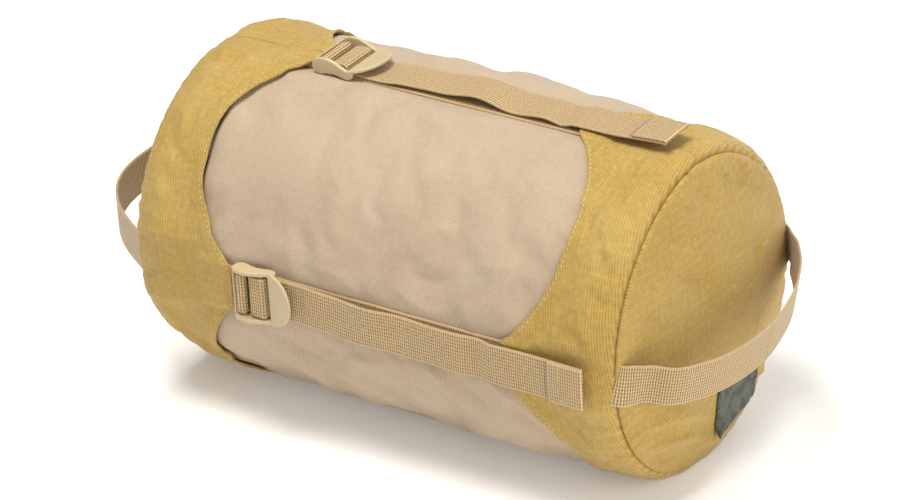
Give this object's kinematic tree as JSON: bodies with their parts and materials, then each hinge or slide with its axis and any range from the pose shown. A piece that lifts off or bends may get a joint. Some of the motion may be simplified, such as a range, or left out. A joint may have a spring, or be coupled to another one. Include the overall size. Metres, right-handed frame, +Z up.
{
  "type": "compression stuff sack",
  "caption": "Round fabric stuff sack with a slide-off scalloped lid, compression straps through ladder-lock buckles, and a webbing carry handle on each end.",
  "frame": {"origin": "centre of the length and width, on the floor the sack lies on", "axes": "+X along the sack from the lid to the base disc, +Z up"},
  "size_m": [0.423, 0.219, 0.2035],
  "materials": {
    "barrel_nylon": "pinkish tan coated nylon with a fine twill line",
    "coyote_ripstop": "coyote ripstop nylon with a fine grid",
    "webbing": "flat woven nylon webbing",
    "buckle_acetal": "satin moulded acetal",
    "woven_label": null,
    "eyelet_brass": "dulled brass eyelet",
    "binding_tape": "grosgrain seam tape"
  },
  "bodies": {
    "sack": {"barrel": "barrel_nylon", "mouth_hem": "barrel_nylon", "cord_eyelet": "eyelet_brass", "base_band": "coyote_ripstop", "base_panel": "coyote_ripstop", "base_binding": "binding_tape", "base_label": "woven_label", "base_handle_end_front": "webbing", "base_handle_end_back": "webbing", "load_strap_top": "webbing", "load_strap_front": "webbing", "load_strap_bottom": "webbing", "load_strap_back": "webbing"},
    "lid": {"lid_skirt": "coyote_ripstop", "lid_panel": "coyote_ripstop", "lid_binding": "binding_tape", "lid_handle_end_front": "webbing", "lid_handle_end_back": "webbing", "buckle_tab_top": "webbing", "buckle_tab_front": "webbing", "buckle_tab_bottom": "webbing", "buckle_tab_back": "webbing"},
    "tails": {"strap_tail_top": "webbing", "strap_tail_front": "webbing", "strap_tail_bottom": "webbing", "strap_tail_back": "webbing", "strap_end_top": "webbing", "strap_end_front": "webbing", "strap_end_bottom": "webbing", "strap_end_back": "webbing"},
    "base_handle": {"base_handle": "webbing"},
    "lid_handle": {"lid_handle": "webbing"},
    "buckle_top": {"ladder_lock_top": "buckle_acetal", "strap_wrap_top": "webbing"},
    "buckle_front": {"ladder_lock_front": "buckle_acetal", "strap_wrap_front": "webbing"},
    "buckle_bottom": {"ladder_lock_bottom": "buckle_acetal", "strap_wrap_bottom": "webbing"},
    "buckle_back": {"ladder_lock_back": "buckle_acetal", "strap_wrap_back": "webbing"}
  },
  "joints": [
    {"name": "lid_slide", "type": "slide", "parent": "sack", "child": "lid", "axis": [-1, 0, 0], "range_m": [0, 0.1], "deforming": ["load_strap_top", "load_strap_front", "load_strap_bottom", "load_strap_back"]},
    {"name": "tails_slide", "type": "slide", "parent": "lid", "child": "tails", "axis": [-1, 0, 0], "range_m": [0, 0.1], "deforming": ["strap_tail_top", "strap_tail_front", "strap_tail_bottom", "strap_tail_back"]},
    {"name": "buckle_top_tilt", "type": "hinge", "parent": "lid", "child": "buckle_top", "pos_m": [-0.07122, 0, 0.1977], "axis": [0, -1, 0], "range_deg": [0, 35]},
    {"name": "buckle_front_tilt", "type": "hinge", "parent": "lid", "child": "buckle_front", "pos_m": [-0.07122, -0.1037, 0.094], "axis": [0, 0, -1], "range_deg": [0, 35]},
    {"name": "buckle_bottom_tilt", "type": "hinge", "parent": "lid", "child": "buckle_bottom", "pos_m": [-0.07122, 0, 0.0063], "axis": [0, 1, 0], "range_deg": [0, 35]},
    {"name": "buckle_back_tilt", "type": "hinge", "parent": "lid", "child": "buckle_back", "pos_m": [-0.07122, 0.1037, 0.094], "axis": [0, 0, 1], "range_deg": [0, 35]},
    {"name": "base_handle_flex", "type": "hinge", "parent": "sack", "child": "base_handle", "pos_m": [0.18359, 0, 0.0912], "axis": [0, 1, 0], "range_deg": [-52, 30], "stiffness_Nm_per_rad": 0.03},
    {"name": "lid_handle_flex", "type": "hinge", "parent": "lid", "child": "lid_handle", "pos_m": [-0.17568, 0, 0.094], "axis": [0, 1, 0], "range_deg": [-60, 60], "stiffness_Nm_per_rad": 0.03}
  ],
  "couplings": [
    {"joint": "tails_slide", "follows": "lid_slide", "ratio": 1}
  ]
}
